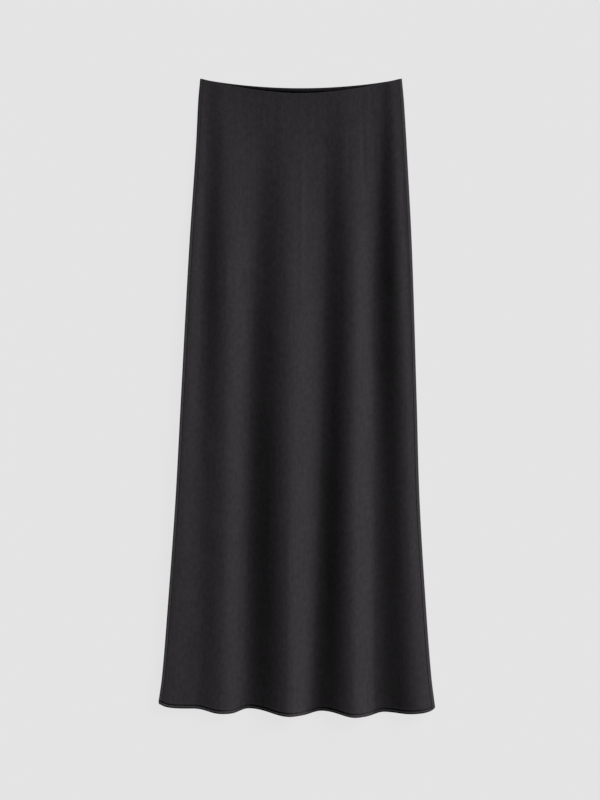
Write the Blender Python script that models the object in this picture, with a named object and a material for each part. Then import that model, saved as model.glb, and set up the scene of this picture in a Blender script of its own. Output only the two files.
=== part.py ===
"""An A-line skirt laid flat: a front panel and a back panel that meet at two side seams.

Metres, +Z up. The skirt lies with its back on the plane Z = 0, its waist towards +Y and its
left outline towards -X. The origin is in the middle of the outline, on that plane.

Each panel is one wall of cloth. A point of the cloth is given by its column, which counts the
fold lines from left to right, and by its way down, from 0 at the waist to 1 at the hem.
"""

import math
from collections import namedtuple

import bmesh
import bpy

# Cloth and seams
LENGTH = 0.978  # from the waist's side corners to the lowest point of the hem
WALL = 0.0012
GAP = 0.0003  # between the panels where they lie on each other, and across a side seam
SEAM_INSET = 0.0042  # the side seams lie on the front, this far in from the outline
SEAM_HEIGHT = 0.0050  # how far the rolled side edges lift the seams above the flat cloth
SIDE_REACH = 0.0036  # half the width of a rolled side edge

# Waist: both edges dip between the side corners, and the front's dips lower
FRONT_DIP = 0.0212
BACK_DIP = 0.0142
MOUTH_LIFT = 0.0030  # the front's edge stands this far off the back at the middle
MOUTH_REACH = 0.035

# Hem
HEM_BAND = 0.0045  # width of the narrow turned hem
HEM_RISE = 0.0004  # the turned hem is this much thicker than the panel
BACK_HEM_SHORT = 0.0015  # the back's hem lies this far inside the front's
CORNER_LIFT = 0.0094  # the hem's corners are rounded, the right one more widely
LEFT_CORNER_WIDTH = 0.0098
RIGHT_CORNER_WIDTH = 0.0150
WAVE_FULLNESS = 0.8  # how much rounder the hem's edge is at its low points than between them

# The back panel follows the front's folds, a little lower, and is flat between them
BACK_FOLLOWS = 0.92
BACK_FLATTENS = 0.0010  # folds lower than this leave the back flat
BACK_BLEND = 0.0010
BACK_FLAT_SIDE = 0.030  # the back lies flat this far in from each outline

# The outline: how far down from the waist corners, and where the two sides are there
Outline = namedtuple("Outline", "down left right")
OUTLINE = [
    Outline(0.000, -0.1486, 0.1619),
    Outline(0.033, -0.1515, 0.1649),
    Outline(0.110, -0.1551, 0.1692),
    Outline(0.264, -0.1654, 0.1767),
    Outline(0.495, -0.1779, 0.1839),
    Outline(0.649, -0.1861, 0.1884),
    Outline(0.803, -0.1972, 0.1974),
    Outline(0.918, -0.2067, 0.2063),
    Outline(0.967, -0.2138, 0.2124),
]
HEM_WIDTH = OUTLINE[-1].right - OUTLINE[-1].left
SEAM_SHARE = SEAM_INSET / HEM_WIDTH

# The hem's edge, its low points and high points by turns: the place across the width, from 0
# at the left outline to 1 at the right one, and how far down the edge lies there
Hem = namedtuple("Hem", "place down")
HEM = [
    Hem(0.000, 0.9678),
    Hem(0.130, 0.9668),
    Hem(0.228, 0.9742),
    Hem(0.345, 0.9676),
    Hem(0.481, 0.9765),
    Hem(0.604, 0.9706),
    Hem(0.716, LENGTH),
    Hem(0.828, 0.9728),
    Hem(0.915, 0.9752),
    Hem(1.000, 0.9766),
]

# The fold lines, crests and valleys by turns. waist, middle and hem are places across the
# cloth, from 0 at the left seam to 1 at the right one. middle_height and hem_height are above
# the flat cloth. A fold begins at start and is fully grown at full, both down from the waist.
# segments divide the way to the next line.
Fold = namedtuple("Fold", "name waist middle hem middle_height hem_height start full segments")
FOLDS = [
    Fold("left_seam", 0.000, 0.000, 0.000, SEAM_HEIGHT, SEAM_HEIGHT, -0.02, 0.20, 4),
    Fold("left_dip", 0.045, 0.085, 0.107, 0.0025, 0.0036, 0.00, 0.50, 4),
    Fold("first_crest", 0.128, 0.182, 0.215, 0.0110, 0.0110, 0.01, 0.35, 5),
    Fold("first_valley", 0.325, 0.289, 0.311, 0.0000, 0.0000, 0.00, 0.50, 6),
    Fold("second_crest", 0.452, 0.460, 0.478, 0.0205, 0.0220, 0.02, 0.60, 6),
    Fold("second_valley", 0.625, 0.602, 0.556, 0.0000, 0.0000, 0.00, 0.50, 6),
    Fold("third_crest", 0.748, 0.738, 0.712, 0.0185, 0.0205, 0.02, 0.60, 5),
    Fold("third_valley", 0.890, 0.841, 0.803, 0.0000, 0.0000, 0.00, 0.50, 5),
    Fold("right_crest", 0.944, 0.946, 0.942, 0.0122, 0.0155, 0.00, 0.30, 3),
    Fold("right_seam", 1.000, 1.000, 1.000, SEAM_HEIGHT, SEAM_HEIGHT, -0.02, 0.20, 0),
]
LAST_LINE = len(FOLDS) - 1

# Rows down the cloth: a share of the way from the waist to the first hem row, or, across the
# hem, how far above the edge they lie and how much the outer face is raised there.
Row = namedtuple("Row", "share above_edge raised")
BODY_SHARES = [
    0.000, 0.020, 0.045, 0.075, 0.110, 0.150, 0.195, 0.245, 0.300, 0.360,
    0.430, 0.510, 0.600, 0.690, 0.780, 0.860, 0.920, 0.960, 0.985,
]
HEM_ROWS = [
    Row(1.0, 0.0064, 0.0),
    Row(1.0, HEM_BAND, HEM_RISE),
    Row(1.0, 0.0008, HEM_RISE),
    Row(1.0, 0.0, 0.0),
]
ROWS = [Row(share, None, 0.0) for share in BODY_SHARES] + HEM_ROWS

SIDE_STEPS = 6  # segments round the rolled side edge
SLOPE_STEP = 0.05  # of a column, over which the slope of a fold is taken
LEAN = 0.85  # the folds are steeper on their left, just above each valley
SHARP_ANGLE = math.radians(50)

SATIN_COLOUR = (0.021, 0.019, 0.021, 1.0)
SATIN_ROUGHNESS = 0.42


def ease(share):
    """0 to 1 with no slope at either end."""
    share = min(max(share, 0.0), 1.0)
    return share * share * (3 - 2 * share)


def between(first, second, share):
    return first + (second - first) * share


def outline_at(down):
    """The left and right outline at this distance down from the waist corners."""
    last = len(OUTLINE) - 1
    row = 0
    while row < last - 1 and down > OUTLINE[row + 1].down:
        row += 1
    before = OUTLINE[max(row - 1, 0)]
    here = OUTLINE[row]
    after = OUTLINE[row + 1]
    beyond = OUTLINE[min(row + 2, last)]
    step = after.down - here.down
    share = min(max((down - here.down) / step, 0.0), 1.0)
    sides = []
    for side in ("left", "right"):
        x_here, x_after = getattr(here, side), getattr(after, side)
        slope_here = step * (x_after - getattr(before, side)) / (after.down - before.down)
        slope_after = step * (getattr(beyond, side) - x_here) / (beyond.down - here.down)
        cubic = 2 * (x_here - x_after) + slope_here + slope_after
        square = 3 * (x_after - x_here) - 2 * slope_here - slope_after
        sides.append(((cubic * share + square) * share + slope_here) * share + x_here)
    return sides


def line_across(fold, way):
    """Where a fold line crosses the width, on the curve through its three places."""
    near_waist = (1 - way) * (1 - 2 * way)
    near_middle = 4 * way * (1 - way)
    near_hem = way * (2 * way - 1)
    return fold.waist * near_waist + fold.middle * near_middle + fold.hem * near_hem


def line_height(fold, way):
    growth = (way * LENGTH - fold.start) / (fold.full - fold.start)
    growth = min(max(growth, 0.0), 1.0)
    growth = 1 - (1 - growth) ** 2
    return growth * between(fold.middle_height, fold.hem_height, ease(2 * way - 1))


def line_pair(column):
    """The fold lines on either side of a column, and the share of the way between them."""
    line = min(int(column), LAST_LINE - 1)
    return FOLDS[line], FOLDS[line + 1], column - line


def across(column, way):
    """0 at the left seam's line to 1 at the right one's."""
    first, second, share = line_pair(column)
    return between(line_across(first, way), line_across(second, way), share)


def width_share(column, way):
    """0 at the left outline to 1 at the right one."""
    return between(SEAM_SHARE, 1 - SEAM_SHARE, across(column, way))


def wave(share):
    """0 to 1 along half a cosine wave."""
    return (1 - math.cos(math.pi * share)) / 2


def fold_height(column, way):
    """How high the folds lift the cloth, on a wave from each fold line to the next."""
    first, second, share = line_pair(column)
    if second.hem_height > first.hem_height:
        share **= LEAN
    return between(line_height(first, way), line_height(second, way), wave(share))


def hem_down(place):
    """How far down the hem's edge lies, with its rounded corners."""
    here, after = next(pair for pair in zip(HEM, HEM[1:]) if place <= pair[1].place)
    share = wave((place - here.place) / (after.place - here.place))
    if after.down > here.down:
        share += WAVE_FULLNESS * share * share * (1 - share)
    else:
        share -= WAVE_FULLNESS * share * (1 - share) * (1 - share)
    down = between(here.down, after.down, share)
    down -= CORNER_LIFT * math.exp(-place * HEM_WIDTH / LEFT_CORNER_WIDTH)
    down -= CORNER_LIFT * math.exp(-(1 - place) * HEM_WIDTH / RIGHT_CORNER_WIDTH)
    return down


def down_at(row, place, dip, shorter):
    """Distance down from the waist corners to this row, at this share of the whole width."""
    top = dip * (1 - (2 * place - 1) ** 2)
    edge = hem_down(place) - shorter
    if row.above_edge is None:
        return between(top, edge - HEM_ROWS[0].above_edge, row.share)
    return edge - row.above_edge


def mouth(place, way):
    """How far the front stands off the back at the waist, fading down the cloth."""
    middle = 1 - (2 * place - 1) ** 2
    return MOUTH_LIFT * middle * middle * math.exp(-way * LENGTH / MOUTH_REACH)


def cloth_x(column, way, down):
    left, right = outline_at(down)
    left, right = left + SEAM_INSET + GAP / 2, right - SEAM_INSET - GAP / 2
    return between(left, right, across(column, way))


def upright(column, way, down, height_at, wall):
    """The wall's upright thickness where the folds give the cloth this slope."""
    before, after = max(column - SLOPE_STEP, 0.0), min(column + SLOPE_STEP, LAST_LINE)
    rise = height_at(after, way) - height_at(before, way)
    run = cloth_x(after, way, down) - cloth_x(before, way, down)
    return wall * math.hypot(1, rise / run)


def back_height(column, way):
    """Height of the back's underside: flat, apart from where it follows a high fold."""
    place = width_share(column, way)
    inside = ease(min(place, 1 - place) * HEM_WIDTH / BACK_FLAT_SIDE)
    lifted = BACK_FOLLOWS * inside * fold_height(column, way) - BACK_FLATTENS
    if lifted <= 0:
        return 0.0
    if lifted < BACK_BLEND:
        return lifted * lifted / (2 * BACK_BLEND)
    return lifted - BACK_BLEND / 2


def way_down(row):
    """The row as one number, 0 at the waist and 1 at the hem's edge."""
    if row.above_edge is None:
        return row.share * (1 - HEM_ROWS[0].above_edge / LENGTH)
    return 1 - row.above_edge / LENGTH


def cloth_columns():
    """The columns of the front panel, from one side seam to the other."""
    columns = []
    for line, fold in enumerate(FOLDS[:-1]):
        columns += [line + step / fold.segments for step in range(fold.segments)]
    return columns + [float(LAST_LINE)]


def front_point(column, row, outer):
    """A point of the front panel, on its outer face or its inner one."""
    way = way_down(row)
    place = width_share(column, way)
    down = down_at(row, place, FRONT_DIP, 0.0)
    z = WALL + GAP + fold_height(column, way) + mouth(place, way)
    if outer:
        z += upright(column, way, down, fold_height, WALL + row.raised)
    return cloth_x(column, way, down), LENGTH / 2 - down, z


def back_columns():
    """The back panel's columns: round each side edge from the seam, and the cloth between.

    A column is (side, step): side -1 or 1 for a rolled edge, whose steps run from 0 at the
    seam to SIDE_STEPS + 1 on the underside, or side 0 for the cloth, whose step is a column
    of the front.
    """
    steps = range(SIDE_STEPS + 2)
    left = [(-1, step) for step in steps]
    right = [(1, step) for step in reversed(steps)]
    return left + [(0, column) for column in cloth_columns()] + right


def back_point(column, row, outer):
    """A point of the back panel, whose outer face is the underside and the rolled side edges."""
    side, step = column
    way = way_down(row)
    if side == 0:
        down = down_at(row, width_share(step, way), BACK_DIP, BACK_HEM_SHORT)
        z = back_height(step, way)
        if not outer:
            z += upright(step, way, down, back_height, WALL)
        return cloth_x(step, way, down), LENGTH / 2 - down, z
    middle = WALL + (GAP + line_height(FOLDS[0], way)) / 2
    inside = 0 if outer else WALL
    angle = math.pi * max(step - 1, 0) / SIDE_STEPS
    z = middle + (middle - inside) * math.cos(angle)
    inset = SIDE_REACH - (SIDE_REACH - inside) * math.sin(angle)
    if step == 0:
        inset = SEAM_INSET - GAP / 2
    place = inset / HEM_WIDTH if side < 0 else 1 - inset / HEM_WIDTH
    down = down_at(row, place, BACK_DIP, BACK_HEM_SHORT * ease(step / SIDE_STEPS))
    left, right = outline_at(down)
    return left + inset if side < 0 else right - inset, LENGTH / 2 - down, z


def add_wall(name, columns, point, material, collection):
    """A panel: a flat grid, made a wall by extrusion, with each face laid where point says."""
    mesh = bpy.data.meshes.new(name)
    sheet = bmesh.new()
    bmesh.ops.create_grid(
        sheet, x_segments=len(columns) - 1, y_segments=len(ROWS) - 1, size=0.5
    )
    across_layer = sheet.verts.layers.int.new("column")
    down_layer = sheet.verts.layers.int.new("row")
    for vertex in sheet.verts:
        vertex[across_layer] = round((vertex.co.x + 0.5) * (len(columns) - 1))
        vertex[down_layer] = round((0.5 - vertex.co.y) * (len(ROWS) - 1))
    bmesh.ops.triangulate(sheet, faces=sheet.faces[:], quad_method="FIXED")
    inner = set(sheet.verts)
    bmesh.ops.extrude_face_region(sheet, geom=sheet.faces[:])
    for vertex in sheet.verts:
        column, row = columns[vertex[across_layer]], ROWS[vertex[down_layer]]
        vertex.co = point(column, row, vertex not in inner)
    bmesh.ops.recalc_face_normals(sheet, faces=sheet.faces[:])
    sheet.to_mesh(mesh)
    sheet.free()
    mesh.shade_smooth()
    mesh.set_sharp_from_angle(angle=SHARP_ANGLE)
    mesh.materials.append(material)
    panel = bpy.data.objects.new(name, mesh)
    collection.objects.link(panel)
    return panel


def add_satin():
    satin = bpy.data.materials.new("satin")
    satin.use_nodes = True
    shader = satin.node_tree.nodes["Principled BSDF"]
    shader.inputs["Base Color"].default_value = SATIN_COLOUR
    shader.inputs["Roughness"].default_value = SATIN_ROUGHNESS
    shader.inputs["Metallic"].default_value = 0.0
    return satin


def main():
    for old in list(bpy.data.objects):
        bpy.data.objects.remove(old)
    skirt = bpy.data.collections.new("a_line_skirt")
    bpy.context.scene.collection.children.link(skirt)
    satin = add_satin()
    add_wall("back_panel", back_columns(), back_point, satin, skirt)
    add_wall("front_panel", cloth_columns(), front_point, satin, skirt)


main()
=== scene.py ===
"""The looks of an A-line skirt of plain satin that lies flat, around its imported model.

Metres, +Z up, the waist towards +Y. Each panel is one sheet of thin cloth on its solid's form,
with a turned waist edge, a turned and stitched hem, and side edges that dip into the seams.
A point of the cloth is given by its place, from 0 at the left seam to 1 at the right one, and
by its way down, from 0 at the waist to 1 at the hem's edge.
"""

import math
from collections import namedtuple

import bmesh
import bpy
import numpy as np
from mathutils import Matrix, Vector


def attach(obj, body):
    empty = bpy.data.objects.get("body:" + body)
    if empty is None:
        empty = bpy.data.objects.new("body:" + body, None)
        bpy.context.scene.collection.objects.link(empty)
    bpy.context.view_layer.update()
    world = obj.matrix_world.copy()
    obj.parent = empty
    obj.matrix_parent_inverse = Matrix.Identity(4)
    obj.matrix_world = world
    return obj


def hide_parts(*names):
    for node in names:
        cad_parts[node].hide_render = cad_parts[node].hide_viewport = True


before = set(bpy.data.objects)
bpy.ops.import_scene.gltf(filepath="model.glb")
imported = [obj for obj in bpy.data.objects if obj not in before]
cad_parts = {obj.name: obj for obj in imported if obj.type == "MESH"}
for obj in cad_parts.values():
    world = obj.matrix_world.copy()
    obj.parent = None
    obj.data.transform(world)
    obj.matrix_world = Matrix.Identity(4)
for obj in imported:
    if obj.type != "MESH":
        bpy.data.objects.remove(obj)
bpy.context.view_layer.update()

# The skirt's sizes: those of the solids, refined against the photo
LENGTH = 0.978  # from the waist's side corners to the lowest point of the hem
WALL = 0.0012  # of the solids, on whose outer faces the cloth lies
GAP = 0.0003  # between the solids
LEFT_SEAM = 0.0046  # the side seams lie on the front, this far in from the outline
RIGHT_SEAM = 0.0056
SIDE_LEVEL = 0.0006  # beside its seam, a rolled side edge is level this far
FRONT_DIP = 0.0225  # the waist's edges dip this far between the side corners
BACK_DIP = 0.0149
WAIST_PEAK = 0.0007  # the waist's edges rise this much more at the side corners
WAIST_PEAK_REACH = 0.16
DIP_POINT = 1.6  # how much more pointed the front's dip is than the back's
MOUTH_LIFT = 0.0030  # the front's edge stands this far off the back at the middle
MOUTH_REACH = 0.035
BODY_END = 0.0064  # the panel ends, and its hem begins, this far above the edge
BACK_HEM_SHORT = 0.0015  # the back's hem lies this far inside the front's
CORNER_LIFT = 0.0094  # the hem's corners are rounded, the right one more widely
LEFT_CORNER_WIDTH = 0.0098
RIGHT_CORNER_WIDTH = 0.0150
WAVE_FULLNESS = 0.8  # how much rounder the hem's edge is at its low points than between them
BACK_FOLLOWS = 0.92  # the back follows the front's folds by this share
BACK_FLATTENS = 0.0010  # folds lower than this leave it flat
BACK_BLEND = 0.0010
BACK_FLAT_SIDE = 0.030  # it lies flat this far in from each outline

Outline = namedtuple("Outline", "down left right")
OUTLINE = [
    Outline(0.000, -0.1486, 0.1619),
    Outline(0.033, -0.1515, 0.1649),
    Outline(0.110, -0.1553, 0.1695),
    Outline(0.264, -0.1655, 0.1772),
    Outline(0.495, -0.1779, 0.1844),
    Outline(0.649, -0.1862, 0.1889),
    Outline(0.803, -0.1973, 0.1980),
    Outline(0.918, -0.2067, 0.2068),
    Outline(0.967, -0.2137, 0.2129),
]
HEM_WIDTH = OUTLINE[-1].right - OUTLINE[-1].left

Hem = namedtuple("Hem", "place down")
HEM = [
    Hem(0.000, 0.9673),
    Hem(0.127, 0.9677),
    Hem(0.251, 0.9754),
    Hem(0.333, 0.9681),
    Hem(0.509, 0.9782),
    Hem(0.598, 0.9711),
    Hem(0.740, 0.9797),
    Hem(0.821, 0.9733),
    Hem(0.927, 0.9753),
    Hem(1.000, 0.9763),
]

# Fold lines: places across and heights at four ways down, and how the cloth leans from each
# line to the next
FOLD_WAYS = (0.0, 0.30, 0.65, 1.0)
Fold = namedtuple("Fold", "name waist upper lower hem waist_high upper_high lower_high hem_high lean")
FOLDS = [
    Fold("left_seam", 0.000, 0.000, 0.000, 0.000, 0.0004, 0.0052, 0.0091, 0.0080, 1.00),
    Fold("left_dip", 0.029, 0.055, 0.086, 0.125, 0.0003, 0.0026, 0.0059, 0.0056, 0.93),
    Fold("first_crest", 0.116, 0.160, 0.189, 0.219, 0.0018, 0.0100, 0.0107, 0.0106, 1.02),
    Fold("first_valley", 0.319, 0.288, 0.288, 0.311, 0.0016, 0.0000, 0.0000, 0.0000, 0.90),
    Fold("second_crest", 0.428, 0.447, 0.458, 0.467, 0.0009, 0.0113, 0.0208, 0.0199, 0.98),
    Fold("second_valley", 0.623, 0.609, 0.592, 0.555, 0.0014, 0.0000, 0.0032, 0.0000, 0.91),
    Fold("third_crest", 0.727, 0.738, 0.724, 0.703, 0.0019, 0.0113, 0.0215, 0.0199, 1.04),
    Fold("third_valley", 0.903, 0.840, 0.830, 0.794, 0.0000, 0.0000, 0.0019, 0.0003, 1.03),
    Fold("right_crest", 0.965, 0.955, 0.958, 0.944, 0.0013, 0.0128, 0.0141, 0.0164, 1.03),
    Fold("right_seam", 1.000, 1.000, 1.025, 1.055, 0.0010, 0.0101, 0.0074, 0.0031, 1.00),
]

# The cloth
CLOTH = 0.00045  # thickness of the satin
SEAM_GAP = 0.00012  # between the panels' edges, down in a side seam
FLAT_WAIST = 0.312  # a panel's width at the waist before it is sewn
FLAT_HEM = 0.478
HEM_FOLD = 0.00050  # radius of the hem's turned edge
WAIST_FOLD = 0.00045
HEM_TURN = 0.0049  # how far the cloth comes back up inside the hem
WAIST_TURN = 0.0085
STITCH_LINE = 0.0040  # the hem's stitches lie this far above its edge
HEM_CURL = 0.018  # the hem's edge curls down where it stands high, as a share of its height
HEM_CURL_REACH = 0.0050
HEM_DEEPENS = 30  # its dips are deeper by this share for each metre that it stands high
HEM_PUCKER = 0.22  # how unevenly the turned hem swells, as a share
PUCKER_RATE = 760  # of the swells along the hem, in radians a metre
PUCKER_DRIFT = 61  # of the change in their spacing
PUCKER_FINE = 2170  # of smaller ones between them
SEAM_DEPTH = 0.00033  # how far the cloth dips at a side seam
SEAM_REACH = 0.0011
SEAM_TUCK = 0.0003  # the cloth's very edge lies this much deeper
LEFT_FULLNESS = 4.0  # the left side edge is rolled fuller than an ellipse, which has 2
RIGHT_FULLNESS = 1.3  # the right one slopes down to its outer side
UNDER_FULLNESS = 2.6  # below, both are rounded
LEFT_BULGE = 0.0022  # the left one bulges at its outer side
LEFT_BULGE_START = 0.35  # the bulge is full below this share of its length
LEFT_BULGE_INSET = 0.0011
LEFT_BULGE_REACH = 0.0020
LEFT_BULGE_TURN = 0.4  # and fades where the cosine of the angle falls below this
ROLL_FADE = 1.5  # the hem's swell fades round a rolled edge by this power of the cosine
BACK_EDGE_LIFT = 0.0062  # the back's waist edge stands up a little at the middle
BACK_EDGE_FALL = 0.68  # the share of this that falls at the foot of its slope
BACK_EDGE_BEND = 5  # how sharply it falls there
BACK_EDGE_FOOT = 0.0008  # the foot lies this far past the front's edge
STITCH_LENGTH = 0.0022
STITCH_PITCH = 0.0029
THREAD = 0.00026  # diameter of the hem's thread
THREAD_RISE = 0.1  # the thread's middle stands this share of its diameter off the cloth
FLOOR_DROP = 0.0002

# How far the hem's outer face swells out, by the distance above its edge
Swell = namedtuple("Swell", "above out")
HEM_FORM = [
    Swell(0.0000, -0.00040),
    Swell(HEM_FOLD, -0.00030),
    Swell(0.0015, 0.00010),
    Swell(0.0024, 0.00022),
    Swell(STITCH_LINE, -0.00072),
    Swell(0.0062, 0.00008),
    Swell(0.0090, 0.00000),
    Swell(0.0120, 0.00000),
]

# Fine soft creases that the solids leave out. Half lengths are shares of the cloth's length,
# and half widths are shares of its width
STREAKS = 70
STREAK_LENGTHS = (0.025, 0.12)
STREAK_WIDTHS = (0.006, 0.020)
DIMPLES = 150  # about as wide as long
DIMPLE_LENGTHS = (0.009, 0.020)
DIMPLE_WIDTHS = (0.020, 0.045)
CREASE_RISE = 0.00019
CREASE_SEED = 7
CREASE_ROOM = 0.02  # their middles keep this share of the cloth away from its edges
SEAM_FADE = 0.03  # they fade out over these shares, towards the seams, the waist and the hem
WAIST_FADE = 0.02
HEM_FADE = 0.01

# Rows and columns of the cloth's grid
WAIST_ROWS = (WAIST_FOLD, 0.0010, 0.0018, 0.0030, 0.0050, 0.0080)  # below the waist's edge
BODY_FIRST = 0.0105  # the first row of the body, below the waist's edge
BODY_LAST = 0.0125  # and its last one, above the hem's edge
BODY_ROWS = 176
HEM_ROWS = (0.0108, 0.0094, 0.0082, 0.0073, 0.0066, 0.0060, 0.0055, 0.0050, 0.0046, 0.0043,
            0.0041, 0.0039, 0.0036, 0.0032, 0.0027, 0.0022, 0.0017, 0.0012, HEM_FOLD)
TURN_STEPS = 6  # round a turned edge
SEAM_PLACES = (0.0, 0.00001, 0.0007, 0.0016, 0.0028, 0.0045, 0.0070, 0.0105)  # beside a seam
MIDDLE_FIRST = 0.0150  # the first place after them
FRONT_COLUMNS = 176  # of the front between its seams
BACK_COLUMNS = 138  # of the back between its rolled edges
ROLL_STEPS = 23  # round a rolled edge
EDGE_STEP = 0.00001  # between the last two columns at a seam
LEVEL_STEP = 0.0003  # from the next column to where the edge starts to roll


def ease(share):
    """0 to 1 with no slope at either end."""
    share = np.clip(share, 0.0, 1.0)
    return share * share * (3 - 2 * share)


def between(first, second, share):
    """From the first value to the second one by this share."""
    return first + (second - first) * share


def wave(share):
    """0 to 1 along half a wave."""
    return (1 - np.cos(np.pi * share)) / 2


def through(knots, values, at):
    """The smooth curve through these values at these knots."""
    knots, values = np.array(knots), np.array(values)
    last = len(knots) - 1
    row = np.searchsorted(knots[1:last], at, side="left")
    before, after, beyond = np.maximum(row - 1, 0), row + 1, np.minimum(row + 2, last)
    step = knots[after] - knots[row]
    share = np.clip((at - knots[row]) / step, 0.0, 1.0)
    slope_here = step * (values[after] - values[before]) / (knots[after] - knots[before])
    slope_after = step * (values[beyond] - values[row]) / (knots[beyond] - knots[row])
    cubic = 2 * (values[row] - values[after]) + slope_here + slope_after
    square = 3 * (values[after] - values[row]) - 2 * slope_here - slope_after
    return ((cubic * share + square) * share + slope_here) * share + values[row]


def outline_at(down):
    """The left and right outline at these distances down from the waist corners."""
    knots = [row.down for row in OUTLINE]
    return (through(knots, [row.left for row in OUTLINE], down),
            through(knots, [row.right for row in OUTLINE], down))


def line_across(fold, way):
    """Where a fold line crosses the width."""
    return through(FOLD_WAYS, fold[1:5], way)


def line_height(fold, way):
    """How high a fold line lifts the cloth."""
    return np.maximum(through(FOLD_WAYS, fold[5:9], way), 0.0)


def fold_height(place, way):
    """How high the folds lift the cloth, on a wave from each fold line to the next."""
    height = line_height(FOLDS[0], way)
    for first, second in zip(FOLDS, FOLDS[1:]):
        start, end = line_across(first, way), line_across(second, way)
        share = np.clip((place - start) / (end - start), 0.0, 1.0) ** first.lean
        here = between(line_height(first, way), line_height(second, way), wave(share))
        height = np.where(place >= start, here, height)
    return height


def hem_down(spot):
    """How far down the hem's edge lies, with its rounded corners, by the share of the whole width."""
    table = np.array(HEM)
    row = np.searchsorted(table[1:-1, 0], spot, side="left")
    here, after = table[row], table[row + 1]
    share = wave((spot - here[..., 0]) / (after[..., 0] - here[..., 0]))
    fuller = share + WAVE_FULLNESS * share * share * (1 - share)
    rounder = share - WAVE_FULLNESS * share * (1 - share) * (1 - share)
    share = np.where(after[..., 1] > here[..., 1], fuller, rounder)
    down = between(here[..., 1], after[..., 1], share)
    down = down - CORNER_LIFT * np.exp(-spot * HEM_WIDTH / LEFT_CORNER_WIDTH)
    return down - CORNER_LIFT * np.exp(-(1 - spot) * HEM_WIDTH / RIGHT_CORNER_WIDTH)


def down_at(spot, way, dip, shorter):
    """Distance down from the waist corners, at this share of the whole width."""
    middle = 1 - (2 * spot - 1) ** 2
    top = BACK_DIP * middle + (dip - BACK_DIP) * middle ** DIP_POINT
    top = top - WAIST_PEAK * np.exp(-middle / WAIST_PEAK_REACH)
    edge = hem_down(spot) - shorter
    body = 1 - BODY_END / LENGTH
    on_body = between(top, edge - BODY_END, way / body)
    return np.where(way <= body, on_body, edge - (1 - way) * LENGTH)


def mouth(spot, way):
    """How far the front stands off the back at the waist, fading down the cloth."""
    middle = 1 - (2 * spot - 1) ** 2
    return MOUTH_LIFT * middle * middle * np.exp(-way * LENGTH / MOUTH_REACH)


def crease_table():
    """Streaks and dimples at random: place, way, half length, half width, height."""
    chance = np.random.default_rng(CREASE_SEED)
    table = np.empty((STREAKS + DIMPLES, 5))
    table[:, 0] = chance.uniform(CREASE_ROOM, 1 - CREASE_ROOM, len(table))
    table[:, 1] = chance.uniform(CREASE_ROOM, 1 - CREASE_ROOM, len(table))
    table[:, 2] = chance.uniform(*STREAK_LENGTHS, len(table))
    table[:, 3] = chance.uniform(*STREAK_WIDTHS, len(table))
    table[:, 4] = chance.normal(0.0, CREASE_RISE, len(table))
    table[STREAKS:, 2] = chance.uniform(*DIMPLE_LENGTHS, DIMPLES)
    table[STREAKS:, 3] = chance.uniform(*DIMPLE_WIDTHS, DIMPLES)
    return table


def creases(place, way):
    """The height of the soft creases over the folds."""
    height = np.zeros_like(place)
    for line, middle, reach, width, rise in crease_table():
        fade = np.exp(-((way - middle) / reach) ** 2)
        height += rise * fade * np.exp(-((place - line) / width) ** 2)
    edges = ease(place / SEAM_FADE) * ease((1 - place) / SEAM_FADE)
    return height * edges * ease((1 - way) / HEM_FADE) * ease(way / WAIST_FADE)


def whole_share(place):
    """The share of the whole width, with the side edges, for a place between the seams."""
    return between(LEFT_SEAM / HEM_WIDTH, 1 - RIGHT_SEAM / HEM_WIDTH, place)


def upright(x, height, thick):
    """Upright thickness of a wall whose height changes across the cloth."""
    slope = np.gradient(height, axis=0) / np.gradient(x, axis=0)
    return thick * np.hypot(1, slope)


def between_seams(place, down, gap):
    """How far across a place is, between the seams and this gap beside each."""
    left, right = outline_at(down)
    return between(left + LEFT_SEAM + gap, right - RIGHT_SEAM - gap, place)


def front_face(place, way):
    """The front's outer face, with no hem or seam detail."""
    spot = whole_share(place)
    down = down_at(spot, way, FRONT_DIP, 0.0)
    x = between_seams(place, down, SEAM_GAP / 2)
    height = fold_height(place, way)
    z = WALL + GAP + height + mouth(spot, way) + upright(x, height, WALL) + creases(place, way)
    return np.stack([x, LENGTH / 2 - down, z], axis=-1)


def back_edge(spot, way):
    """How far the back's waist edge stands up, sloping down to the front's edge."""
    middle = 1 - (2 * spot - 1) ** 2
    foot = (FRONT_DIP - BACK_DIP) * middle ** DIP_POINT + BACK_EDGE_FOOT
    share = np.clip(way * LENGTH / foot, 0.0, 1.0)
    fallen = (1 - BACK_EDGE_FALL) * share + BACK_EDGE_FALL * share ** BACK_EDGE_BEND
    return BACK_EDGE_LIFT * middle * (1 - fallen)


def back_cloth(place, way):
    """The back's underside between the rolled side edges."""
    spot = whole_share(place)
    down = down_at(spot, way, BACK_DIP, BACK_HEM_SHORT)
    inside = ease(np.minimum(spot, 1 - spot) * HEM_WIDTH / BACK_FLAT_SIDE)
    lifted = BACK_FOLLOWS * inside * fold_height(place, way) - BACK_FLATTENS
    blended = lifted * lifted / (2 * BACK_BLEND)
    z = np.where(lifted < BACK_BLEND, blended, lifted - BACK_BLEND / 2)
    z = np.where(lifted <= 0, 0.0, z) + back_edge(spot, way)
    x = between_seams(place, down, GAP / 2)
    return np.stack([x, LENGTH / 2 - down, z], axis=-1)


def fuller(turn, side, angle):
    """The sine or cosine of the angle round a side edge, made that of a fuller curve."""
    fullness = LEFT_FULLNESS if side < 0 else RIGHT_FULLNESS
    if angle > math.pi / 2:
        fullness = UNDER_FULLNESS
    return math.copysign(abs(turn) ** (2 / fullness), turn)


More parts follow.
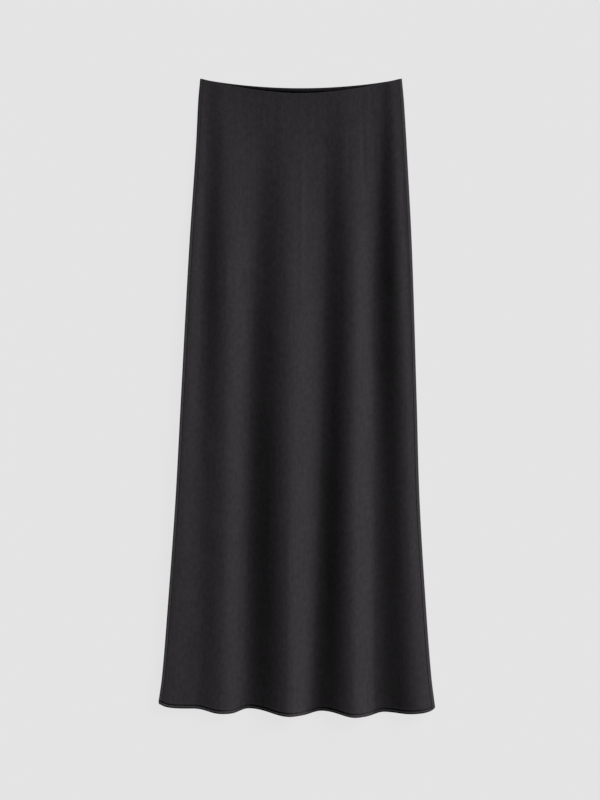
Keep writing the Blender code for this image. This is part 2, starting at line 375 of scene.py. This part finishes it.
def back_side(side, inset, angle, way):
    """The back's rolled side edge: inset from the outline, angle from its top to its underside."""
    spot = inset / HEM_WIDTH
    spot = spot if side < 0 else 1 - spot
    down = down_at(spot, way, BACK_DIP, BACK_HEM_SHORT * ease(angle / np.pi))
    left, right = outline_at(down)
    seam = fold_height(0.0 if side < 0 else 1.0, way)
    middle = WALL + (GAP + seam) / 2
    z = middle + middle * fuller(math.cos(angle), side, angle)
    if side < 0 and angle < math.pi / 2:
        bulge = LEFT_BULGE * math.exp(-((inset - LEFT_BULGE_INSET) / LEFT_BULGE_REACH) ** 2)
        z = z + bulge * ease(math.cos(angle) / LEFT_BULGE_TURN) * ease(way / LEFT_BULGE_START)
    x = left + inset if side < 0 else right - inset
    return np.stack([x, LENGTH / 2 - down, z], axis=-1)


def outward(points, above, below, flip):
    """The unit normal at each point of a grid, from its columns and from points a step up and down."""
    normal = np.cross(below - above, np.gradient(points, axis=0)) * flip
    return normal / np.linalg.norm(normal, axis=-1, keepdims=True)


def seam_dip(distance):
    """How far the cloth dips at this distance from a side seam."""
    share = np.clip(distance / SEAM_REACH, 0.0, 1.0)
    dip = SEAM_DEPTH * (1 - np.sqrt(1 - (1 - share) ** 2))
    return dip + SEAM_TUCK * (share <= 0)


def hem_swell(above, along, high):
    """How far the hem's outer face swells out, unevenly, and curls in where it stands high."""
    swell = through([row.above for row in HEM_FORM], [row.out for row in HEM_FORM], above)
    pucker = np.sin(along * PUCKER_RATE + 2 * np.sin(along * PUCKER_DRIFT))
    pucker = pucker + 0.5 * np.sin(along * PUCKER_FINE)
    swell = np.where(swell < 0, swell * (1 + HEM_DEEPENS * high), swell)
    swell = swell * (1 + HEM_PUCKER * pucker) * (above < HEM_FORM[-1].above)
    return swell - HEM_CURL * high * np.clip(1 - above / HEM_CURL_REACH, 0.0, 1.0) ** 2


# A row of the cloth: its way down, or how far above the hem's edge or below the waist's one it
# is, and how far inside the outer face
Row = namedtuple("Row", "way above below inside")


def turned(radius, turn):
    """The turned edge as (distance from the edge, distance inside), from outside to inside."""
    points = []
    for step in range(1, TURN_STEPS + 1):
        angle = math.pi * step / TURN_STEPS
        points.append((radius * (1 - math.sin(angle)), radius * (1 - math.cos(angle))))
    for share in (0.25, 0.6, 1.0):
        points.append((between(radius, turn, share), 2 * radius))
    return points


def cloth_rows():
    """The rows from the waist's turned edge, inside, to the hem's."""
    waist_turn = reversed(turned(WAIST_FOLD, WAIST_TURN))
    rows = [Row(None, None, far, inside) for far, inside in waist_turn]
    rows += [Row(None, None, far, 0.0) for far in WAIST_ROWS]
    body = np.linspace(BODY_FIRST, LENGTH - BODY_LAST, BODY_ROWS)
    rows += [Row(far / LENGTH, None, None, 0.0) for far in body]
    rows += [Row(None, far, None, 0.0) for far in HEM_ROWS]
    rows += [Row(None, far, None, inside) for far, inside in turned(HEM_FOLD, HEM_TURN)]
    return rows


ROWS = cloth_rows()
NEAR_STEPS = (-0.0002, 0.0, 0.0002)  # of the way, over which the slope down the cloth is taken


def row_ways():
    """The way down of each row."""
    ways = []
    for row in ROWS:
        if row.way is not None:
            ways.append(row.way)
        elif row.above is not None:
            ways.append(1 - row.above / LENGTH)
        else:
            ways.append(row.below / LENGTH)
    return np.array(ways)


def row_insides():
    """How far each row lies inside the outer face."""
    return np.array([row.inside for row in ROWS])


def row_aboves():
    """The distance above the hem's edge at each row, that of its turned edge for the rows inside."""
    return np.array([(1 - way) * LENGTH if row.inside == 0 or row.above is None else HEM_FOLD
                     for row, way in zip(ROWS, row_ways())])


def cloth_places():
    """Places across the front, close together at the seams."""
    near = list(SEAM_PLACES)
    middle = list(np.linspace(MIDDLE_FIRST, 1 - MIDDLE_FIRST, FRONT_COLUMNS))
    return np.array(near + middle + [1 - place for place in reversed(near)])


def shaped(faces, dip, swell, flip):
    """A panel's points and normals: its outer face with seam dips and hem, and its turned edges."""
    above, face, below = faces
    normal = outward(face, above, below, flip)
    inside = row_insides()[None, :] + dip - swell
    return face - normal * inside[..., None], normal


def front_points():
    """The front's points, with its seam dips and its hem."""
    place, way = np.meshgrid(cloth_places(), row_ways(), indexing="ij")
    faces = [front_face(place, way + step) for step in NEAR_STEPS]
    width = between(FLAT_WAIST, FLAT_HEM, way)
    distance = np.minimum(place, 1 - place) * width
    high = fold_height(place, np.ones_like(place))
    swell = hem_swell(row_aboves()[None, :], place * FLAT_HEM, high)
    return shaped(faces, seam_dip(distance), swell, 1)


def back_columns():
    """(side, inset, angle) round each side edge, and (0, place, 0) for the cloth between."""
    sides = []
    for side, seam in ((-1, LEFT_SEAM), (1, RIGHT_SEAM)):
        edge = seam - SEAM_GAP / 2
        reach = seam - SIDE_LEVEL
        columns = [(side, inset, 0.0) for inset in (edge, edge - EDGE_STEP, reach + LEVEL_STEP)]
        columns += [(side, reach * (1 - fuller(math.sin(turn), side, turn)), turn)
                    for turn in np.linspace(0, math.pi, ROLL_STEPS)]
        sides.append(columns)
    left, right = sides
    return left + [(0, place, 0.0) for place in np.linspace(0, 1, BACK_COLUMNS)] + right[::-1]


def back_face(columns, ways):
    """The back's outer face, with no hem or seam detail, at these columns and ways down."""
    face = np.empty((len(columns), len(ways), 3))
    places = np.array([place for side, place, angle in columns if side == 0])
    place, way = np.meshgrid(places, ways, indexing="ij")
    first = next(i for i, column in enumerate(columns) if column[0] == 0)
    face[first:first + len(places)] = back_cloth(place, way)
    for i, (side, inset, angle) in enumerate(columns):
        if side != 0:
            face[i] = back_side(side, inset, angle, ways)
    return face


def back_points():
    """The back's points. Its swell fades round the rolled edges, and stays off the floor below."""
    ways, columns = row_ways(), back_columns()
    faces = [back_face(columns, ways + step) for step in NEAR_STEPS]
    distance, swell = [], []
    for side, inset, angle in columns:
        below = side == 0 or angle > math.pi / 2
        seam = LEFT_SEAM if side < 0 else RIGHT_SEAM
        distance.append([seam - SEAM_GAP / 2 - inset if side and angle < math.pi / 2 else 1.0])
        end = inset if side == 0 else (side + 1) / 2
        curve = hem_swell(row_aboves(), end * FLAT_HEM, fold_height(end, 1.0) if side else 0.0)
        level = abs(math.cos(angle)) ** ROLL_FADE
        swell.append(np.minimum(curve, 0.0) * level if below else curve * level)
    return shaped(faces, seam_dip(np.array(distance)), np.array(swell), -1)


def add_cloth(name, points, materials, turned_over):
    """A sheet of cloth: a flat grid laid on the points, then given its thickness."""
    columns, rows = points.shape[:2]
    middle_steps = np.linalg.norm(np.diff(points[columns // 2], axis=0), axis=1)
    flat_rows = np.concatenate([[0], np.cumsum(middle_steps)])
    sheet = bmesh.new()
    bmesh.ops.create_grid(sheet, x_segments=columns - 1, y_segments=rows - 1, size=0.5)
    weave = sheet.loops.layers.uv.new("weave")
    for vertex in sheet.verts:
        column = round((vertex.co.x + 0.5) * (columns - 1))
        row = round((0.5 - vertex.co.y) * (rows - 1))
        down = flat_rows[row]
        width = between(FLAT_WAIST, FLAT_HEM, down / flat_rows[-1])
        across = (column / (columns - 1) - 0.5) * width
        for loop in vertex.link_loops:
            loop[weave].uv = (across, -down)
        vertex.co = points[column, row]
    if turned_over:
        bmesh.ops.reverse_faces(sheet, faces=sheet.faces)
    mesh = bpy.data.meshes.new(name)
    sheet.to_mesh(mesh)
    sheet.free()
    mesh.shade_smooth()
    for material in materials:
        mesh.materials.append(material)
    cloth = bpy.data.objects.new(name, mesh)
    bpy.context.scene.collection.objects.link(cloth)
    wall = cloth.modifiers.new("wall", "SOLIDIFY")
    wall.thickness = CLOTH
    wall.offset = -1
    wall.material_offset = 1
    return cloth


def add_stitches(name, points, normals, material):
    """A hem's stitches as one mesh: short rounded threads in a line along the groove."""
    row = int(np.argmin(np.abs(row_aboves() - STITCH_LINE)))
    line, outer = points[:, row], normals[:, row]
    far = np.concatenate([[0], np.cumsum(np.linalg.norm(np.diff(line, axis=0), axis=1))])
    threads = bmesh.new()
    for middle in np.arange(STITCH_PITCH, far[-1] - STITCH_PITCH, STITCH_PITCH):
        ends = [Vector([np.interp(middle + half, far, line[:, k]) for k in range(3)])
                for half in (-STITCH_LENGTH / 2, STITCH_LENGTH / 2)]
        up = Vector([np.interp(middle, far, outer[:, k]) for k in range(3)]).normalized()
        along = (ends[1] - ends[0]).normalized()
        side = up.cross(along).normalized()
        turn = Matrix((along, side, along.cross(side))).transposed().to_4x4()
        place = Matrix.Translation((ends[0] + ends[1]) / 2 + up * THREAD * THREAD_RISE)
        size = Matrix.Diagonal((STITCH_LENGTH, THREAD, THREAD, 1.0))
        bmesh.ops.create_uvsphere(threads, u_segments=6, v_segments=6, radius=0.5,
                                  matrix=place @ turn @ size @ Matrix.Rotation(math.pi / 2, 4, "Y"))
    bmesh.ops.recalc_face_normals(threads, faces=threads.faces)
    mesh = bpy.data.meshes.new(name)
    threads.to_mesh(mesh)
    threads.free()
    mesh.shade_smooth()
    mesh.materials.append(material)
    stitches = bpy.data.objects.new(name, mesh)
    bpy.context.scene.collection.objects.link(stitches)
    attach(stitches, "root")
    return stitches


def rich_noise(tree, place, scale, detail, rough):
    """Noise of about 0.3 to 0.7 at this place."""
    noise = tree.nodes.new("ShaderNodeTexNoise")
    noise.inputs["Scale"].default_value = scale
    noise.inputs["Detail"].default_value = detail
    noise.inputs["Roughness"].default_value = rough
    tree.links.new(place, noise.inputs["Vector"])
    return noise.outputs["Fac"]


def stretched(tree, vector, scale):
    """The vector, scaled along each axis."""
    mapping = tree.nodes.new("ShaderNodeMapping")
    mapping.inputs["Scale"].default_value = scale
    tree.links.new(vector, mapping.inputs["Vector"])
    return mapping.outputs["Vector"]


def ranged(tree, value, low, high):
    """Maps a noise of about 0.3 to 0.7 to low and high."""
    reach = tree.nodes.new("ShaderNodeMapRange")
    reach.inputs["From Min"].default_value = 0.3
    reach.inputs["From Max"].default_value = 0.7
    reach.inputs["To Min"].default_value = low
    reach.inputs["To Max"].default_value = high
    tree.links.new(value, reach.inputs["Value"])
    return reach.outputs["Result"]


def calculated(tree, operation, first, second):
    """A sum or product of two numbers or sockets."""
    step = tree.nodes.new("ShaderNodeMath")
    step.operation = operation
    for socket, value in zip(step.inputs, (first, second)):
        if isinstance(value, (int, float)):
            socket.default_value = value
        else:
            tree.links.new(value, socket)
    return step.outputs["Value"]


SATIN_DARK = (0.0236, 0.0217, 0.0236)
SATIN_LIGHT = (0.0314, 0.0289, 0.0316)
REVERSE_AND_SHADE_SHARE = 0.85  # the satin's reverse is darker by this share: partly the duller reverse side, partly painted shade for the back's inside where it shows at the waist
SATIN_SPECULAR = 0.02
SATIN_ROUGHNESS = (0.44, 0.56)

# What shades the satin: repeats a metre across and along it, and its share of the shade
Shade = namedtuple("Shade", "name across along detail rough share")
SHADES = [
    Shade("slubs", 420, 9, 3.0, 0.55, 0.40),
    Shade("clouds", 38, 22, 3.0, 0.60, 0.35),
    Shade("mottle", 190, 110, 2.0, 0.60, 1.00),
    Shade("grain", 640, 360, 1.0, 0.50, 0.45),
]
SHADE_START = -0.60  # with this added, the shades' middle is 0.5
WEAVE_ACROSS = 5200
WEAVE_ALONG = 1500
FLOAT_SCALE = 420  # of the slanting bands that the weave's floats make
WEAVE_SHARE = 0.6
WEAVE_DEPTH = 0.00005
WEAVE_STRENGTH = 0.25
THREAD_DARK = (0.022, 0.020, 0.022, 1.0)
THREAD_LIGHT = (0.030, 0.028, 0.030, 1.0)


def satin_material(name, shade_share):
    """Plain satin: fine upright slubs in its colour and sheen, over a fine close weave."""
    satin = bpy.data.materials.new(name)
    satin.use_nodes = True
    tree = satin.node_tree
    shader = tree.nodes["Principled BSDF"]
    uv = tree.nodes.new("ShaderNodeUVMap")
    uv.uv_map = "weave"
    vector = uv.outputs["UV"]
    noises = []
    for row in SHADES:
        drawn = stretched(tree, vector, (row.across, row.along, 1))
        noises.append(rich_noise(tree, drawn, 1.0, row.detail, row.rough))
    shade = SHADE_START
    for noise, row in zip(noises, SHADES):
        shade = calculated(tree, "ADD", calculated(tree, "MULTIPLY", noise, row.share), shade)
    mix = tree.nodes.new("ShaderNodeMix")
    mix.data_type = "RGBA"
    # below 1, shade_share darkens the whole colour: painted shade, together with the duller reverse
    # side
    mix.inputs["A"].default_value = [value * shade_share for value in SATIN_DARK] + [1.0]
    mix.inputs["B"].default_value = [value * shade_share for value in SATIN_LIGHT] + [1.0]
    tree.links.new(ranged(tree, shade, 0.0, 1.0), mix.inputs["Factor"])
    tree.links.new(mix.outputs["Result"], shader.inputs["Base Color"])
    tree.links.new(ranged(tree, noises[0], *SATIN_ROUGHNESS), shader.inputs["Roughness"])
    shader.inputs["Specular IOR Level"].default_value = SATIN_SPECULAR
    weave = rich_noise(tree, stretched(tree, vector, (WEAVE_ACROSS, WEAVE_ALONG, 1)), 1.0, 1.0, 0.5)
    floats = tree.nodes.new("ShaderNodeTexWave")
    floats.wave_type = "BANDS"
    floats.bands_direction = "DIAGONAL"
    floats.inputs["Scale"].default_value = FLOAT_SCALE
    floats.inputs["Distortion"].default_value = 1.5
    floats.inputs["Detail"].default_value = 1.0
    tree.links.new(vector, floats.inputs["Vector"])
    height = calculated(tree, "ADD", calculated(tree, "MULTIPLY", weave, WEAVE_SHARE),
                        calculated(tree, "MULTIPLY", floats.outputs["Fac"], 1 - WEAVE_SHARE))
    bump = tree.nodes.new("ShaderNodeBump")
    bump.inputs["Strength"].default_value = WEAVE_STRENGTH
    bump.inputs["Distance"].default_value = WEAVE_DEPTH
    tree.links.new(height, bump.inputs["Height"])
    tree.links.new(bump.outputs["Normal"], shader.inputs["Normal"])
    return satin


FLOOR_GLOW = 0.7485
FLOOR_COLOUR = (0.030, 0.030, 0.030, 1.0)
FLOOR_REACH = 20.0


def add_floor():
    """A plain pale floor, a little shaded where the skirt stands off it."""
    sheet = bmesh.new()
    bmesh.ops.create_grid(sheet, x_segments=1, y_segments=1, size=FLOOR_REACH)
    bmesh.ops.translate(sheet, verts=sheet.verts, vec=(0, 0, -FLOOR_DROP))
    mesh = bpy.data.meshes.new("floor")
    sheet.to_mesh(mesh)
    sheet.free()
    floor = bpy.data.objects.new("floor", mesh)
    bpy.context.scene.collection.objects.link(floor)
    pale = bpy.data.materials.new("pale_floor")
    pale.use_nodes = True
    shader = pale.node_tree.nodes["Principled BSDF"]
    shader.inputs["Base Color"].default_value = FLOOR_COLOUR
    shader.inputs["Roughness"].default_value = 1.0
    shader.inputs["Specular IOR Level"].default_value = 0.0
    shader.inputs["Emission Color"].default_value = (1.0, 1.0, 1.0, 1.0)
    shader.inputs["Emission Strength"].default_value = FLOOR_GLOW
    mesh.materials.append(pale)


SUN_ELEVATION = math.radians(25.5)
SUN_AZIMUTH = math.radians(45)
SUN_SPREAD = math.radians(40)
SUN_STRENGTH = 6.27
SUN_DISTANCE = 3
STUDIO_GREY = 0.02
BACKDROP = 0.775  # the floor's own brightness, seen past its edge


def add_light():
    """One broad soft light from the upper right, and a dim studio with a pale backdrop."""
    lamp = bpy.data.lights.new("studio_light", "SUN")
    lamp.energy = SUN_STRENGTH
    lamp.angle = SUN_SPREAD
    light = bpy.data.objects.new("studio_light", lamp)
    level = math.cos(SUN_ELEVATION)
    toward = Vector((level * math.cos(SUN_AZIMUTH), level * math.sin(SUN_AZIMUTH),
                     math.sin(SUN_ELEVATION)))
    light.rotation_euler = toward.to_track_quat("Z", "Y").to_euler()
    light.location = toward * SUN_DISTANCE
    bpy.context.scene.collection.objects.link(light)
    world = bpy.data.worlds.new("studio")
    world.use_nodes = True
    tree = world.node_tree
    soft = tree.nodes["Background"]
    soft.inputs["Color"].default_value = (1.0, 1.0, 1.0, 1.0)
    soft.inputs["Strength"].default_value = STUDIO_GREY
    seen = tree.nodes.new("ShaderNodeBackground")
    seen.inputs["Color"].default_value = (1.0, 1.0, 1.0, 1.0)
    seen.inputs["Strength"].default_value = BACKDROP
    path = tree.nodes.new("ShaderNodeLightPath")
    either = tree.nodes.new("ShaderNodeMixShader")
    tree.links.new(path.outputs["Is Camera Ray"], either.inputs["Fac"])
    tree.links.new(soft.outputs["Background"], either.inputs[1])
    tree.links.new(seen.outputs["Background"], either.inputs[2])
    tree.links.new(either.outputs["Shader"], tree.nodes["World Output"].inputs["Surface"])
    bpy.context.scene.world = world


CAMERA_HEIGHT = 2.4
CAMERA_ACROSS = 0.00508
CAMERA_NUDGE = 0.00024  # for the cloth's height above the floor
FRAME_HEIGHT = 1.232  # of the photograph's frame, on the floor
PHOTO_ROWS = 800
WAIST_CORNER_ROW = 79.15  # of the photograph, where the waist's side corners are
SENSOR_HEIGHT = 36


def add_camera():
    """A camera straight above, with the photograph's frame."""
    lens = bpy.data.cameras.new("camera")
    lens.sensor_fit = "VERTICAL"
    lens.sensor_height = SENSOR_HEIGHT
    lens.lens = SENSOR_HEIGHT * CAMERA_HEIGHT / FRAME_HEIGHT
    camera = bpy.data.objects.new("camera", lens)
    below_corners = (PHOTO_ROWS / 2 - WAIST_CORNER_ROW) * FRAME_HEIGHT / PHOTO_ROWS
    camera.location = (CAMERA_ACROSS, LENGTH / 2 - below_corners + CAMERA_NUDGE, CAMERA_HEIGHT)
    bpy.context.scene.collection.objects.link(camera)
    bpy.context.scene.camera = camera


def thread_material():
    """The hem's thread: a little lighter and shinier than the satin."""
    thread = bpy.data.materials.new("charcoal_thread")
    thread.use_nodes = True
    tree = thread.node_tree
    shader = tree.nodes["Principled BSDF"]
    place = tree.nodes.new("ShaderNodeTexCoord").outputs["Object"]
    twist = rich_noise(tree, place, 9000.0, 2.0, 0.5)
    mix = tree.nodes.new("ShaderNodeMix")
    mix.data_type = "RGBA"
    mix.inputs["A"].default_value = THREAD_DARK
    mix.inputs["B"].default_value = THREAD_LIGHT
    tree.links.new(ranged(tree, twist, 0.0, 1.0), mix.inputs["Factor"])
    tree.links.new(mix.outputs["Result"], shader.inputs["Base Color"])
    shader.inputs["Roughness"].default_value = 0.45
    shader.inputs["Specular IOR Level"].default_value = 0.25
    return thread


def add_panel(name, node, shape, turned_over, satin, thread):
    """A panel's cloth in place of its solid, with its row of hem stitches."""
    points, normals = shape
    cloth = add_cloth(name + "_cloth", points, satin, turned_over)
    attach(cloth, "root")
    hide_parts(node)
    stitches = add_stitches(name + "_hem_stitches", points, normals, thread)


def add_skirt():
    """Both panels: the back on the floor, and the front on the back."""
    # the reverse is a darker copy of the satin on the inner faces: partly the duller reverse side,
    # partly painted shade on the back's inside strip at the waist
    satin = [satin_material("charcoal_satin", 1.0), satin_material("satin_reverse_and_painted_shade", REVERSE_AND_SHADE_SHARE)]
    thread = thread_material()
    add_panel("back", "back_panel", back_points(), True, satin, thread)
    add_panel("front", "front_panel", front_points(), False, satin, thread)


add_floor()
add_skirt()
add_light()
add_camera()
bpy.context.scene.view_settings.view_transform = "Standard"
